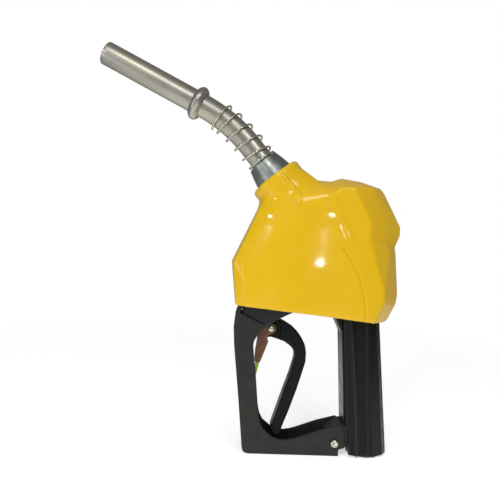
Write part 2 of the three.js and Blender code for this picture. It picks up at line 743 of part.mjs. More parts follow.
function clipSolid() {
  const cheek = [
    ...arc(rivet.x, rivet.z, 4.3, 130, -70, 8),
    [22, 103], [19.6, 101], [21.9, 97], [19, 89.1], [14.8, 78.1],
    [11.2, 77.6], [10, 79.8], [10.5, 87.9], [11.9, 97.8], [13.6, 104.6], [17, 109.6],
  ];
  const back = [
    [11.2, 77.6], [10, 79.8], [10.5, 87.9], [11.9, 97.8],
    [13.4, 97.5], [12.1, 87.6], [11.7, 79.8], [12.6, 78],
  ];
  const tongue = [[11.2, 79.5], [10.7, 76], [11, 67.6], [12, 66.8], [14, 75.4], [14.2, 79.5]];
  return cut(
    join([
      plate(cheek, -clip.outer, -clip.inner),
      plate(cheek, clip.inner, clip.outer),
      plate(back, -clip.outer, clip.outer),
      plate(tongue, -clip.tongue, clip.tongue),
    ]),
    [crossRod(rivet.x, rivet.z, rivet.radius + GAP, -10, 10)],
  );
}

function rivetSolid() {
  const reach = clip.outer + GAP;
  const half = [
    [0, 0], [rivet.radius, 0], [rivet.radius, reach],
    [2.7, reach], [2.2, reach + 0.8], [0, reach + 1],
  ];
  const mirrored = half.map(([r, h]) => [r, -h]).reverse();
  return turned([...mirrored.slice(0, -2), ...half.slice(2)], 16)
    .rotate([90, 0, 0])
    .translate([rivet.x, 0, rivet.z]);
}

put("hold_open_clip", clipSolid(), yellowZinc);
put("clip_rivet", rivetSolid(), brightSteel);
put(
  "clip_spring",
  coil(3, 0.7, 3.5, 5.6, 2.25).rotate([-90, 0, 0]).translate([rivet.x, 0, rivet.z]),
  brightSteel,
);

export default nozzle;
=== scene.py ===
"""Looks of the fuel nozzle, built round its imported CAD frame.

Metres, +Z up, spout towards -X, handle at +X, and Y = 0 is the plane the lever swings in.
"""
import json
import math

import bmesh
import bpy
from mathutils import Matrix, Vector, noise


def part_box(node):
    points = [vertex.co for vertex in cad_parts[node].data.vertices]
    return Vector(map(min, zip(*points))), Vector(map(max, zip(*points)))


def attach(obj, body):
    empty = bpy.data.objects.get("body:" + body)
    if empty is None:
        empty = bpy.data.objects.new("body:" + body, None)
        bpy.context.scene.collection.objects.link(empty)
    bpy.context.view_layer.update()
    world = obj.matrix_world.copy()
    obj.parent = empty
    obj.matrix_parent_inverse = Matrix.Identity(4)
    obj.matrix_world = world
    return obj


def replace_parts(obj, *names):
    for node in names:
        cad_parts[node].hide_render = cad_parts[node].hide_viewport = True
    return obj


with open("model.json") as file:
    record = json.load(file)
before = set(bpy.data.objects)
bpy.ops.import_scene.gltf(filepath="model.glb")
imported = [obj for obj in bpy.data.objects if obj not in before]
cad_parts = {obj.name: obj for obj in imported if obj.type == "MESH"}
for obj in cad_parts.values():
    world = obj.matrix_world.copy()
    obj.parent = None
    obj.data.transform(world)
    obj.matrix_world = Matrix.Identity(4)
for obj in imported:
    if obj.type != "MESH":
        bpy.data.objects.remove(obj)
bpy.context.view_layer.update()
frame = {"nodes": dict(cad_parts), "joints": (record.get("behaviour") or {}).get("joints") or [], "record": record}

MM = 0.001
ACROSS = Vector((0, 1, 0))
MOUNTS = {m["name"]: m for m in frame["record"]["mounts"]}
JOINTS = {j["name"]: j for j in frame["joints"]}
SLOT_OF = {s["node"]: s["material_slot"] for s in frame["record"]["subparts"]}
BODY_OF = {n: b for b, names in frame["record"]["behaviour"]["bodies"].items() for n in names}


# ------------------------------------------------------------------ places, from the frame
def centre_of(node):
    low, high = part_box(node)
    return (low + high) / 2


def half_across(node):
    """Half a node's size across the nozzle, which is the radius of a piece that lies on an axis."""
    low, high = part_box(node)
    return (high.y - low.y) / 2


def reach_of(node, origin, axis):
    """The furthest that a node's mesh reaches along an axis from an origin."""
    return max((v.co - origin).dot(axis) for v in frame["nodes"][node].data.vertices)


TIP_AXIS = Vector(MOUNTS["spout_mouth"]["axis"])
NECK_AXIS = Vector(JOINTS["check_valve_lift"]["axis"])
RING = centre_of("spout_stop_ring")
SEAL = centre_of("spout_seal")
TIP_LENGTH = (Vector(MOUNTS["spout_mouth"]["pos_m"]) - RING).dot(TIP_AXIS)
MOUTH = RING + TIP_AXIS * TIP_LENGTH
SPOUT_RADIUS = half_across("spout_tube")
SPOUT_WALL = 1.7 * MM
BEND_RADIUS = 145 * MM
SPRING_WIRE = 0.9 * MM  # radius
SPRING_START = 23.8 * MM  # behind the stop ring's middle
SPRING_TURNS = 5.5
HOLE_BACK = 16.6 * MM  # the sensing hole, from the mouth
HOLE_RADIUS = 1.6 * MM
RIVET = Vector(JOINTS["clip_swing"]["pos_m"])
GUARD_SCREW = centre_of("guard_rear_nut")
COVER_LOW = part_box("body_cover")[0]
COLLAR_FRONT = reach_of("spout_collar", SEAL, NECK_AXIS)
COVER_RIM = COLLAR_FRONT - 16.7 * MM  # how far the cover's neck reaches, measured from the seal


# ------------------------------------------------------------------ shaders
class Shader:
    """A Principled material, with short ways to add the nodes that give it detail."""

    def __init__(self, name, color, roughness, metallic=0.0, **sockets):
        self.material = bpy.data.materials.new(name)
        self.material.use_nodes = True
        self.tree = self.material.node_tree
        self.surface = self.tree.nodes["Principled BSDF"]
        self.surface.inputs["Base Color"].default_value = (*color, 1)
        self.surface.inputs["Roughness"].default_value = roughness
        self.surface.inputs["Metallic"].default_value = metallic
        for socket, value in sockets.items():
            self.surface.inputs[socket.replace("_", " ")].default_value = value
        self.place = self.tree.nodes.new("ShaderNodeTexCoord").outputs["Object"]
        self.relief = None

    def add(self, kind, **sockets):
        node = self.tree.nodes.new("ShaderNode" + kind)
        for name, value in sockets.items():
            socket = node.inputs[name.replace("_", " ")]
            if isinstance(value, bpy.types.NodeSocket):
                self.tree.links.new(value, socket)
            else:
                socket.default_value = value
        return node

    def stretched(self, axis, factor):
        """Coordinates that run slowly along an axis of the XZ plane, for streaks along it."""
        turned = self.add("Mapping", Vector=self.place)
        turned.inputs["Rotation"].default_value = (0, math.atan2(axis.z, axis.x), 0)
        squeezed = self.add("Mapping", Vector=turned.outputs[0])
        squeezed.inputs["Scale"].default_value = (1 / factor, 1, 1)
        return squeezed.outputs[0]

    def noise(self, scale, detail=4, roughness=0.55, place=None, distortion=0.0):
        node = self.add(
            "TexNoise", Vector=place or self.place, Scale=scale, Detail=detail,
            Roughness=roughness, Distortion=distortion,
        )
        return node.outputs["Fac"]

    def spots(self, scale):
        return self.add("TexVoronoi", Vector=self.place, Scale=scale).outputs["Distance"]

    def height(self):
        return self.add("SeparateXYZ", Vector=self.place).outputs["Z"]

    def facing(self, axis):
        """How much the surface faces an axis of the part, from -1 to 1."""
        normal = self.add("NewGeometry").outputs["Normal"]
        node = self.tree.nodes.new("ShaderNodeVectorMath")
        node.operation = "DOT_PRODUCT"
        self.tree.links.new(normal, node.inputs[0])
        node.inputs[1].default_value = axis
        return node.outputs["Value"]

    def span(self, value, low, high, to_low=0.0, to_high=1.0):
        """The value's stretch from low to high, mapped to another stretch and kept inside it."""
        node = self.add("MapRange", Value=value)
        ends = {"From Min": low, "From Max": high, "To Min": to_low, "To Max": to_high}
        for name, number in ends.items():
            node.inputs[name].default_value = number
        return node.outputs[0]

    def tint(self, share, color):
        """Mixes a colour over the base colour by a share."""
        base = self.surface.inputs["Base Color"]
        mix = self.tree.nodes.new("ShaderNodeMix")
        mix.data_type = "RGBA"
        self.tree.links.new(share, mix.inputs["Factor"])
        if base.is_linked:
            self.tree.links.new(base.links[0].from_socket, mix.inputs["A"])
        else:
            mix.inputs["A"].default_value = base.default_value
        mix.inputs["B"].default_value = (*color, 1)
        self.tree.links.new(mix.outputs["Result"], base)

    def rough(self, value):
        self.tree.links.new(value, self.surface.inputs["Roughness"])

    def bump(self, value, depth, strength=1.0):
        """Adds relief of a depth in metres on top of any relief that is there."""
        node = self.add("Bump", Height=value, Strength=strength, Distance=depth)
        if self.relief:
            self.tree.links.new(self.relief, node.inputs["Normal"])
        self.relief = node.outputs[0]
        self.tree.links.new(self.relief, self.surface.inputs["Normal"])

    def edge_wear_and_sheen(self, color, low, high, amount):
        """Another colour on convex edges: wear where hands and hooks rub, and on the grip's rubber a painted
        highlight along its ridges.
        """
        edge = self.add("NewGeometry").outputs["Pointiness"]
        self.tint(self.span(edge, low, high, 0, amount), color)


def yellow_vinyl():
    s = Shader(
        "yellow_vinyl", (0.78, 0.48, 0.006), 0.3,
        Specular_IOR_Level=0.1, Coat_Weight=0.5, Coat_Roughness=0.07,
    )
    s.tint(s.span(s.noise(16, 3), 0.42, 0.68, 0, 0.4), (0.72, 0.43, 0.008))
    s.tint(s.span(s.noise(70, 4), 0.5, 0.75, 0, 0.3), (0.82, 0.52, 0.02))
    s.tint(s.span(s.noise(1400, 2), 0.64, 0.78, 0, 0.3), (0.6, 0.36, 0.02))
    s.edge_wear_and_sheen((0.6, 0.35, 0.01), 0.51, 0.57, 0.35)
    s.rough(s.span(s.noise(45, 4), 0.35, 0.7, 0.24, 0.38))
    s.bump(s.noise(60, 2), 0.5 * MM, 0.1)
    s.bump(s.noise(700, 2), 0.04 * MM, 0.3)
    return s.material


def painted_casting():
    s = Shader("painted_casting", (0.018, 0.02, 0.0225), 0.46, Specular_IOR_Level=0.3)
    s.tint(s.span(s.noise(70, 5), 0.4, 0.7, 0, 0.5), (0.028, 0.03, 0.033))
    s.tint(s.span(s.spots(420), 0, 0.1, 0.35, 0), (0.06, 0.06, 0.06))
    s.rough(s.span(s.noise(160, 4), 0.35, 0.7, 0.36, 0.55))
    s.bump(s.noise(900, 3), 0.1 * MM, 0.4)
    s.edge_wear_and_sheen((0.16, 0.16, 0.16), 0.55, 0.65, 0.4)
    return s.material


def black_plastic():
    s = Shader("black_plastic", (0.017, 0.0165, 0.0145), 0.52, Specular_IOR_Level=0.3)
    s.tint(s.span(s.noise(90, 5), 0.4, 0.7, 0, 0.6), (0.027, 0.026, 0.022))
    s.tint(s.span(s.spots(520), 0, 0.12, 0.4, 0), (0.05, 0.047, 0.042))
    s.rough(s.span(s.noise(240, 4), 0.35, 0.7, 0.42, 0.62))
    s.bump(s.noise(1300, 3), 0.09 * MM, 0.45)
    s.edge_wear_and_sheen((0.09, 0.085, 0.08), 0.54, 0.62, 0.3)
    return s.material


def lever_finish():
    s = Shader("lever_finish", (0.0032, 0.0034, 0.004), 0.4, Specular_IOR_Level=0.16)
    s.tint(s.span(s.noise(120, 5), 0.45, 0.7, 0, 0.6), (0.007, 0.0075, 0.009))
    s.rough(s.span(s.noise(190, 5), 0.35, 0.7, 0.34, 0.52))
    s.bump(s.noise(800, 3), 0.1 * MM, 0.35)
    s.edge_wear_and_sheen((0.07, 0.07, 0.075), 0.54, 0.64, 0.35)
    return s.material


def black_rubber():
    s = Shader("black_rubber", (0.0032, 0.0034, 0.003), 0.3, Specular_IOR_Level=0.2)
    s.tint(s.span(s.noise(40, 5), 0.45, 0.75, 0, 0.5), (0.008, 0.0085, 0.0065))
    s.rough(s.span(s.noise(120, 4), 0.35, 0.7, 0.26, 0.42))
    s.bump(s.noise(160, 3), 0.2 * MM, 0.2)
    s.bump(s.noise(1500, 2), 0.04 * MM, 0.3)
    # Painted highlight: a lighter colour along the grip's convex ridges, standing in for a lamp's reflection.
    s.edge_wear_and_sheen((0.05, 0.049, 0.04), 0.503, 0.545, 0.7)
    return s.material


def spout_alloy():
    s = Shader("spout_alloy", (0.46, 0.445, 0.4), 0.36, 1.0)
    along = s.stretched(TIP_AXIS, 14)
    s.tint(s.span(s.noise(300, 5, 0.6, along), 0.54, 0.72, 0, 0.5), (0.26, 0.24, 0.21))
    s.tint(s.span(s.noise(90, 4, 0.6, along, 0.6), 0.5, 0.66, 0, 0.6), (0.56, 0.53, 0.38))
    s.tint(s.span(s.noise(38, 3), 0.5, 0.75, 0, 0.5), (0.4, 0.35, 0.36))
    s.rough(s.span(s.noise(90, 3, 0.5, along), 0.35, 0.75, 0.34, 0.42))
    s.bump(s.noise(60, 3), 0.2 * MM, 0.08)
    return s.material


def dark_zinc():
    s = Shader("dark_zinc", (0.3, 0.33, 0.31), 0.34, 1.0)
    s.tint(s.span(s.noise(110, 5), 0.4, 0.7, 0, 0.6), (0.2, 0.22, 0.215))
    s.tint(s.span(s.noise(420, 4), 0.55, 0.75, 0, 0.5), (0.27, 0.27, 0.25))
    s.rough(s.span(s.noise(260, 5), 0.35, 0.7, 0.3, 0.42))
    s.bump(s.noise(800, 4), 0.04 * MM, 0.25)
    s.edge_wear_and_sheen((0.5, 0.5, 0.46), 0.53, 0.62, 0.6)
    return s.material


def bright_steel():
    s = Shader("bright_steel", (0.62, 0.61, 0.5), 0.2, 1.0)
    s.tint(s.span(s.noise(500, 5), 0.5, 0.75, 0, 0.6), (0.42, 0.4, 0.3))
    s.rough(s.span(s.noise(900, 4), 0.35, 0.7, 0.14, 0.34))
    s.bump(s.noise(1500, 3), 0.03 * MM, 0.3)
    return s.material


def yellow_zinc():
    """Chromate over zinc: pinkish on the flats, with a painted yellow-green sheen on the faces that look forward
    and a painted green highlight on the tip.
    """
    s = Shader("yellow_zinc", (0.14, 0.052, 0.04), 0.36, 0.5)
    s.tint(s.span(s.noise(170, 3, 0.5, None, 1.2), 0.42, 0.58, 0, 0.9), (0.12, 0.09, 0.025))
    s.tint(s.span(s.noise(110, 3, 0.5, None, 2.0), 0.5, 0.66, 0, 0.8), (0.15, 0.04, 0.06))
    # Painted sheen: faces that look forward, towards -X, turn yellow-green.
    s.tint(s.span(s.facing((-1, 0, 0)), 0.3, 0.8, 0, 0.9), (0.32, 0.34, 0.08))
    tongue_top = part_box("hold_open_clip")[0].z + 11 * MM
    # Painted highlight: the clip's tongue below its top turns green.
    s.tint(s.span(s.height(), tongue_top + 0.5 * MM, tongue_top - 0.5 * MM), (0.3, 0.55, 0.03))
    s.edge_wear_and_sheen((0.4, 0.4, 0.12), 0.505, 0.55, 0.8)
    s.rough(s.span(s.noise(600, 4), 0.35, 0.7, 0.28, 0.46))
    s.bump(s.noise(1400, 3), 0.03 * MM, 0.3)
    return s.material


def turned_brass():
    s = Shader("turned_brass", (0.5, 0.34, 0.12), 0.32, 1.0)
    s.tint(s.span(s.noise(260, 5), 0.45, 0.7, 0, 0.5), (0.3, 0.19, 0.07))
    s.rough(s.span(s.noise(700, 4), 0.35, 0.7, 0.24, 0.45))
    s.bump(s.noise(1600, 3), 0.03 * MM, 0.3)
    return s.material


def nitrile():
    s = Shader("nitrile", (0.012, 0.012, 0.012), 0.62)
    s.tint(s.span(s.noise(400, 4), 0.45, 0.7, 0, 0.5), (0.03, 0.03, 0.03))
    s.rough(s.span(s.noise(900, 3), 0.35, 0.7, 0.5, 0.75))
    s.bump(s.noise(1800, 2), 0.03 * MM, 0.3)
    return s.material


FINISHES = {
    "yellow_vinyl": yellow_vinyl(),
    "painted_casting": painted_casting(),
    "black_plastic": black_plastic(),
    "black_rubber": black_rubber(),
    "spout_alloy": spout_alloy(),
    "dark_zinc": dark_zinc(),
    "bright_steel": bright_steel(),
    "yellow_zinc": yellow_zinc(),
    "brass": turned_brass(),
    "nitrile": nitrile(),
}
LEVER_FINISH = lever_finish()

for node_name, node_object in frame["nodes"].items():
    node_object.data.materials.clear()
    node_object.data.materials.append(FINISHES[SLOT_OF[node_name]])


# ------------------------------------------------------------------ ways to make a piece
def new_piece(name, mesh, node, finish=None):
    """Shows a mesh in place of a CAD node, on that node's body and in its material slot."""
    piece = bpy.data.objects.new(name, mesh)
    bpy.context.scene.collection.objects.link(piece)
    mesh.materials.clear()
    mesh.materials.append(finish or FINISHES[SLOT_OF[node]])
    mesh.polygons.foreach_set("use_smooth", [True] * len(mesh.polygons))
    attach(piece, BODY_OF[node])
    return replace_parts(piece, node)


def holder_of(mesh):
    holder = bpy.data.objects.new("holder", mesh)
    bpy.context.scene.collection.objects.link(holder)
    return holder


def applied(holder):
    """The mesh of a holder with its modifiers applied. The holder goes."""
    graph = bpy.context.evaluated_depsgraph_get()
    made = bpy.data.meshes.new_from_object(holder.evaluated_get(graph))
    bpy.data.objects.remove(holder)
    return made


def add_modifier(holder, kind, **settings):
    modifier = holder.modifiers.new(kind, kind)
    for name, value in settings.items():
        setattr(modifier, name, value)


def softened_mesh(node, voxel, passes):
    """A CAD node's shape in small squares, with its edges rounded by smoothing."""
    holder = holder_of(frame["nodes"][node].data.copy())
    add_modifier(holder, "REMESH", mode="VOXEL", voxel_size=voxel)
    add_modifier(holder, "SMOOTH", factor=0.5, iterations=passes)
    return applied(holder)


def eased(mesh, share, passes, **axes):
    """Smooths a mesh further where share(point, normal) is over 0, along the axes that are left on."""
    holder = holder_of(mesh)
    group = holder.vertex_groups.new(name="share")
    for vertex in mesh.vertices:
        group.add([vertex.index], share(vertex.co, vertex.normal), "REPLACE")
    add_modifier(holder, "SMOOTH", factor=1, iterations=passes, vertex_group="share", **axes)
    return applied(holder)


def raised(mesh, offset):
    """Moves each point of a mesh along its normal by offset(point, normal), in metres."""
    normals = [vertex.normal.copy() for vertex in mesh.vertices]
    steps = [offset(vertex.co, normal) for vertex, normal in zip(mesh.vertices, normals)]
    for vertex, normal, step in zip(mesh.vertices, normals, steps):
        if step:
            vertex.co = vertex.co + normal * step
    mesh.update()
    return mesh


def carved(mesh, *tools):
    """The mesh with closed tool meshes cut out of it."""
    holder = holder_of(mesh)
    cutters = [holder_of(tool) for tool in tools]
    for cutter in cutters:
        add_modifier(holder, "BOOLEAN", operation="DIFFERENCE", solver="MANIFOLD", object=cutter)
    made = applied(holder)
    for cutter in cutters:
        bpy.data.objects.remove(cutter)
    return made


def frame_at(origin, axis):
    """A matrix that puts +Z on an axis of the XZ plane, or on Y."""
    z = axis.normalized()
    x = ACROSS.cross(z) if abs(z.y) < 0.9 else Vector((1, 0, 0))
    x.normalize()
    matrix = Matrix((x, z.cross(x), z)).transposed().to_4x4()
    matrix.translation = origin
    return matrix


def mesh_of(bm):
    bmesh.ops.recalc_face_normals(bm, faces=bm.faces)
    mesh = bpy.data.meshes.new("mesh")
    bm.to_mesh(mesh)
    bm.free()
    return mesh


def joined_rings(bm, rings, wrapped):
    """Faces between neighbouring rings of points, and back to the first one if wrapped."""
    count = len(rings[0])
    for one, two in zip(rings, rings[1:] + (rings[:1] if wrapped else [])):
        for k in range(count):
            bm.faces.new((one[k], one[(k + 1) % count], two[(k + 1) % count], two[k]))


def turned_mesh(profile, matrix, sides=96):
    """A solid of revolution from a closed row of (radius, height) points that stays off the axis."""
    bm = bmesh.new()
    rings = []
    for i in range(sides):
        a = 2 * math.pi * i / sides
        across = Vector((math.cos(a), math.sin(a), 0))
        rings.append([bm.verts.new(matrix @ (across * r + Vector((0, 0, h)))) for r, h in profile])
    joined_rings(bm, rings, wrapped=True)
    return mesh_of(bm)


def domed_mesh(profile, matrix, sides=64):
    """A solid of revolution from (radius, height) points that start and end on the axis."""
    bm = bmesh.new()
    rows = []
    for radius, height in profile[1:-1]:
        angles = [2 * math.pi * i / sides for i in range(sides)]
        row = [Vector((radius * math.cos(a), radius * math.sin(a), height)) for a in angles]
        rows.append([bm.verts.new(matrix @ point) for point in row])
    joined_rings(bm, rows, wrapped=False)
    for row, (_, height) in ((rows[0], profile[0]), (rows[-1], profile[-1])):
        tip = bm.verts.new(matrix @ Vector((0, 0, height)))
        for k in range(sides):
            bm.faces.new((tip, row[k], row[(k + 1) % sides]))
    return mesh_of(bm)


def arc(centre, radius, start, end, steps):
    """Points of an arc in (radius, height), by angles in degrees."""
    turns = [math.radians(start + (end - start) * i / steps) for i in range(steps + 1)]
    return [(centre[0] + radius * math.cos(a), centre[1] + radius * math.sin(a)) for a in turns]


def box_mesh(size, matrix):
    bm = bmesh.new()
    bmesh.ops.create_cube(bm, size=1, matrix=matrix @ Matrix.Diagonal((*size, 1)))
    return mesh_of(bm)


def smoothstep(low, high, value):
    t = min(max((value - low) / (high - low), 0), 1)
    return t * t * (3 - 2 * t)


def bell(x):
    """1 at 0, falling smoothly on both sides."""
    return math.exp(-x * x)


# ------------------------------------------------------------------ spout
def spout_path(steps=40):
    """The spout's centre line from its mouth to inside the neck, as the frame places it."""
    across = RING - SEAL
    reach = (across.x * TIP_AXIS.z - across.z * TIP_AXIS.x) / (
        NECK_AXIS.x * TIP_AXIS.z - NECK_AXIS.z * TIP_AXIS.x
    )
    corner = SEAL + NECK_AXIS * reach
    tangent = BEND_RADIUS * math.tan(TIP_AXIS.angle(NECK_AXIS) / 2)
    start = corner + TIP_AXIS * tangent
    end = corner - NECK_AXIS * tangent
    straight = [MOUTH.lerp(start, i / 8) for i in range(8)]
    shares = [i / steps for i in range(steps)]
    bend = [start.lerp(corner, t).lerp(corner.lerp(end, t), t) for t in shares]
    root = [end.lerp(SEAL, i / 4) for i in range(5)]
    return straight + bend + root


def path_length(points):
    return sum((b - a).length for a, b in zip(points, points[1:]))


def point_along(points, distance):
    """(point, direction) at a distance along a path."""
    for a, b in zip(points, points[1:]):
        step = (b - a).length
        if distance <= step:
            return a + (b - a) * (distance / step), (b - a).normalized()
        distance -= step
    return points[-1], (points[-1] - points[-2]).normalized()


PATH = spout_path()
PATH_LENGTH = path_length(PATH)


def upward(way):
    """The direction square to the spout, on the outside of its bend."""
    return way.cross(ACROSS).normalized()


def path_ring(bm, distance, radius, sides):
    """A ring of points round the spout's path."""
    point, way = point_along(PATH, distance)
    up = upward(way)
    turns = [2 * math.pi * i / sides for i in range(sides)]
    return [bm.verts.new(point + (up * math.cos(a) + ACROSS * math.sin(a)) * radius) for a in turns]


def spout_tube_mesh():
    """A drawn tube with a rounded mouth and the sensing hole on its underside."""
    outer = SPOUT_RADIUS
    inner = outer - SPOUT_WALL
    lip = 0.6 * MM
    step = 2 * MM
    mouth = arc((lip, inner + lip), lip, 270, 180, 3) + arc((lip, outer - lip), lip, 180, 90, 3)
    stops = [step * i for i in range(2, int(PATH_LENGTH / step))]
    loops = [(d, inner) for d in reversed(stops)] + mouth + [(d, outer) for d in stops]
    bm = bmesh.new()
    joined_rings(bm, [path_ring(bm, d, r, 72) for d, r in loops], wrapped=True)
    return carved(mesh_of(bm), sensing_hole_mesh())


def sensing_hole_mesh():
    """The drill of the small hole near the mouth that feels the fuel reach the spout."""
    under = -upward(-TIP_AXIS)
    place = frame_at(MOUTH - TIP_AXIS * HOLE_BACK, under)
    start = 5 * MM
    end = 14 * MM
    return domed_mesh([(0, start), (HOLE_RADIUS, start), (HOLE_RADIUS, end), (0, end)], place, 32)


def stop_ring_mesh():
    """A bead that is fuller on its body side, with a tight seam where it meets the tube."""
    inner = SPOUT_RADIUS + 0.02 * MM
    rise = half_across("spout_stop_ring") - inner
    half = 5 * MM
    steps = 20
    profile = []
    for i in range(steps + 1):
        a = math.pi * i / steps
        height = half * (math.cos(a) - 0.12 * math.sin(2 * a))
        profile.append((inner + rise * math.sin(a) ** 0.75, height))
    under = inner - 0.3 * MM
    return turned_mesh(profile + [(under, -half), (under, half)], frame_at(RING, TIP_AXIS), 128)


def spring_travel(t, closed_start=0.18, closed_end=0.22):
    """The share of its length that the spring has covered after a share t of its turns."""
    even = 1 / (1 - closed_start / 2 - closed_end / 2)
    if t < closed_start:
        return even * t * t / (2 * closed_start)
    if t > 1 - closed_end:
        return 1 - even * (1 - t) ** 2 / (2 * closed_end)
    return even * (t - closed_start / 2)


def anchor_spring_mesh():
    """Round wire wound on the bend, closed at both ends, that starts at the spout's underside."""
    wire = SPRING_WIRE
    mean = half_across("anchor_spring") - wire
    start = TIP_LENGTH + SPRING_START
    end = PATH_LENGTH - COLLAR_FRONT - wire - 0.3 * MM
    steps = int(SPRING_TURNS * 40)
    sides = 12
    turns_round = [2 * math.pi * k / sides for k in range(sides)]
    centres = []
    for i in range(steps + 1):
        t = i / steps
        point, way = point_along(PATH, start + (end - start) * spring_travel(t))
        a = 2 * math.pi * SPRING_TURNS * t
        centres.append(point - upward(way) * (mean * math.cos(a)) - ACROSS * (mean * math.sin(a)))
    bm = bmesh.new()
    rings = []
    for i, centre in enumerate(centres):
        before = centres[max(i - 1, 0)]
        after = centres[min(i + 1, steps)]
        along = (after - before).normalized()
        axis_point, way = point_along(PATH, start + (end - start) * spring_travel(i / steps))
        out = (centre - axis_point).normalized()
        out = (out - along * out.dot(along)).normalized()
        side = along.cross(out)
        offsets = [(out * math.cos(b) + side * math.sin(b)) * wire for b in turns_round]
        rings.append([bm.verts.new(centre + offset) for offset in offsets])
    joined_rings(bm, rings, wrapped=False)
    bm.faces.new(rings[0])
    bm.faces.new(list(reversed(rings[-1])))
    return mesh_of(bm)


def collar_mesh():
    """The lock collar: a seat inside the neck, and a slightly full cone with a small rolled lip."""
    bore = SPOUT_RADIUS + 0.3 * MM
    seat = 15.7 * MM
    wide = 18 * MM
    narrow = 14.4 * MM
    height = 17.3 * MM
    lip = 1.0 * MM
    low = COLLAR_FRONT - height
    cone_foot = low + 0.6 * MM
    tip = low + height
    seat_foot = low - 14 * MM
    shoulder = low - 2.7 * MM
    profile = [(bore, seat_foot), (seat, seat_foot), (seat, shoulder), (wide, shoulder), (wide, cone_foot)]
    taper = narrow + 0.2 * MM - wide
    rise = height - 2.6 * MM
    cone = [(wide + taper * t, cone_foot + rise * t) for t in (0.02, 0.35, 0.7, 1)]
    profile += [(r + 0.25 * MM * math.sin(math.pi * i / 3), h) for i, (r, h) in enumerate(cone)]
    profile += arc((narrow - lip, tip - lip), lip, 0, 90, 6)
    profile += [(bore + 0.4 * MM, tip), (bore, tip - 0.4 * MM)]
    return turned_mesh(profile, frame_at(SEAL, NECK_AXIS), 128)


# ------------------------------------------------------------------ soft cover
PAD_SIDE = 1.2 * MM  # how far the pad's middle is from the neck's axis
PAD_HALF = 4.4 * MM
PAD_RISE = 0.9 * MM
PAD_START = 4 * MM  # down from the neck's rim
PAD_END = 33.5 * MM
GROOVE_DEPTH = 0.8 * MM
GROOVE_HALF = 0.65 * MM
CREST_RISE = 0.6 * MM
CREST_HALF = 2.4 * MM
SLOPE_FALL = 1.4 * MM
SLOPE_REACH = 11 * MM
SEAM_START = COVER_LOW + Vector((94 * MM, 0, 64 * MM))
SEAM_END = Vector((COVER_LOW.x + 114.8 * MM, 0, COVER_LOW.z))


def on_cover_plan(point):
    """(across, down) of a point, from the middle of the neck's rim along the neck's axis."""
    rim = SEAL + NECK_AXIS * COVER_RIM
    offset = point - rim
    down = -offset.dot(NECK_AXIS)
    right = Vector((NECK_AXIS.z, 0, -NECK_AXIS.x))
    return offset.dot(right), down


def seam_line(steps=24):
    """The mould's parting line: it leaves along the pad's direction and drops plumb to the skirt."""
    fall = (SEAM_END.x - SEAM_START.x) / -NECK_AXIS.x
    corner = SEAM_START - NECK_AXIS * fall
    shares = [i / steps for i in range(steps + 1)]
    return [SEAM_START.lerp(corner, t).lerp(corner.lerp(SEAM_END, t), t) for t in shares]


SEAM = seam_line()
SLOPE = [COVER_LOW + Vector((10 * MM, 0, 50 * MM)), COVER_LOW + Vector((24 * MM, 0, 84 * MM))]
CREST = [COVER_LOW + Vector((85.6 * MM, 0, 104 * MM)), COVER_LOW + Vector((99.6 * MM, 0, 73 * MM))]


def distance_to(line, point):
    """How far a point is from a line of points, both seen along Y."""
    best = 1.0
    for a, b in zip(line, line[1:]):
        ax, az = b.x - a.x, b.z - a.z
        px, pz = point.x - a.x, point.z - a.z
        t = min(max((px * ax + pz * az) / (ax * ax + az * az), 0), 1)
        best = min(best, math.hypot(px - t * ax, pz - t * az))
    return best


def cover_relief(point, normal):
    """The raised pad, the crest, the fall to the front slope, the parting groove and some waviness."""
    if point.y * normal.y < 0 or abs(point.y) < 15 * MM:
        return 0
    uneven = 0.6 * MM * noise.noise(point * 24 + Vector((3, 1, 8)))
    flank = smoothstep(0.75, 0.93, abs(normal.y))
    across, down = on_cover_plan(point)
    edge = abs(across - PAD_SIDE)
    if edge < 8 * MM and 2 * MM < down < 40 * MM:
        pad = 1 - smoothstep(PAD_HALF - 0.5 * MM, PAD_HALF + 0.5 * MM, edge)
        pad *= smoothstep(PAD_START - 1 * MM, PAD_START + 1 * MM, down)
        pad *= 1 - smoothstep(PAD_END - 1.5 * MM, PAD_END + 1.5 * MM, down + 0.6 * across)
        uneven += PAD_RISE * pad * smoothstep(0.5, 0.8, abs(normal.y))
    if flank > 0:
        uneven += CREST_RISE * flank * bell(distance_to(CREST, point) / CREST_HALF)
        uneven -= SLOPE_FALL * flank * bell(distance_to(SLOPE, point) / SLOPE_REACH)
        if point.x > SEAM_START.x - 5 * MM:
            uneven -= GROOVE_DEPTH * flank * bell(distance_to(SEAM, point) / GROOVE_HALF)
    return uneven


def flat_flank(point, normal):
    return smoothstep(0.93, 0.985, abs(normal.y)) if point.y * normal.y > 0 else 0


def round_neck(point, normal):
    """Where the neck runs into the flanks, behind its rim and clear of its upper side."""
    across, down = on_cover_plan(point)
    along = smoothstep(9 * MM, 16 * MM, down) * (1 - smoothstep(34 * MM, 50 * MM, down))
    aside = smoothstep(-30 * MM, -20 * MM, across) * (1 - smoothstep(12 * MM, 22 * MM, across))
    return along * aside


def cover_mesh():
    mesh = softened_mesh("body_cover", 0.8 * MM, 18)
    mesh = eased(mesh, round_neck, 36)
    mesh = eased(mesh, flat_flank, 360, use_x=False, use_z=False)
    return raised(mesh, cover_relief)


# ------------------------------------------------------------------ handle, guard and lever
LEVER_ARM_FROM = RIVET.x + 9 * MM
SLEEVE_LOW, SLEEVE_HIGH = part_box("grip_sleeve")
SLEEVE_AXIS = SLEEVE_HIGH.x - 18.4 * MM


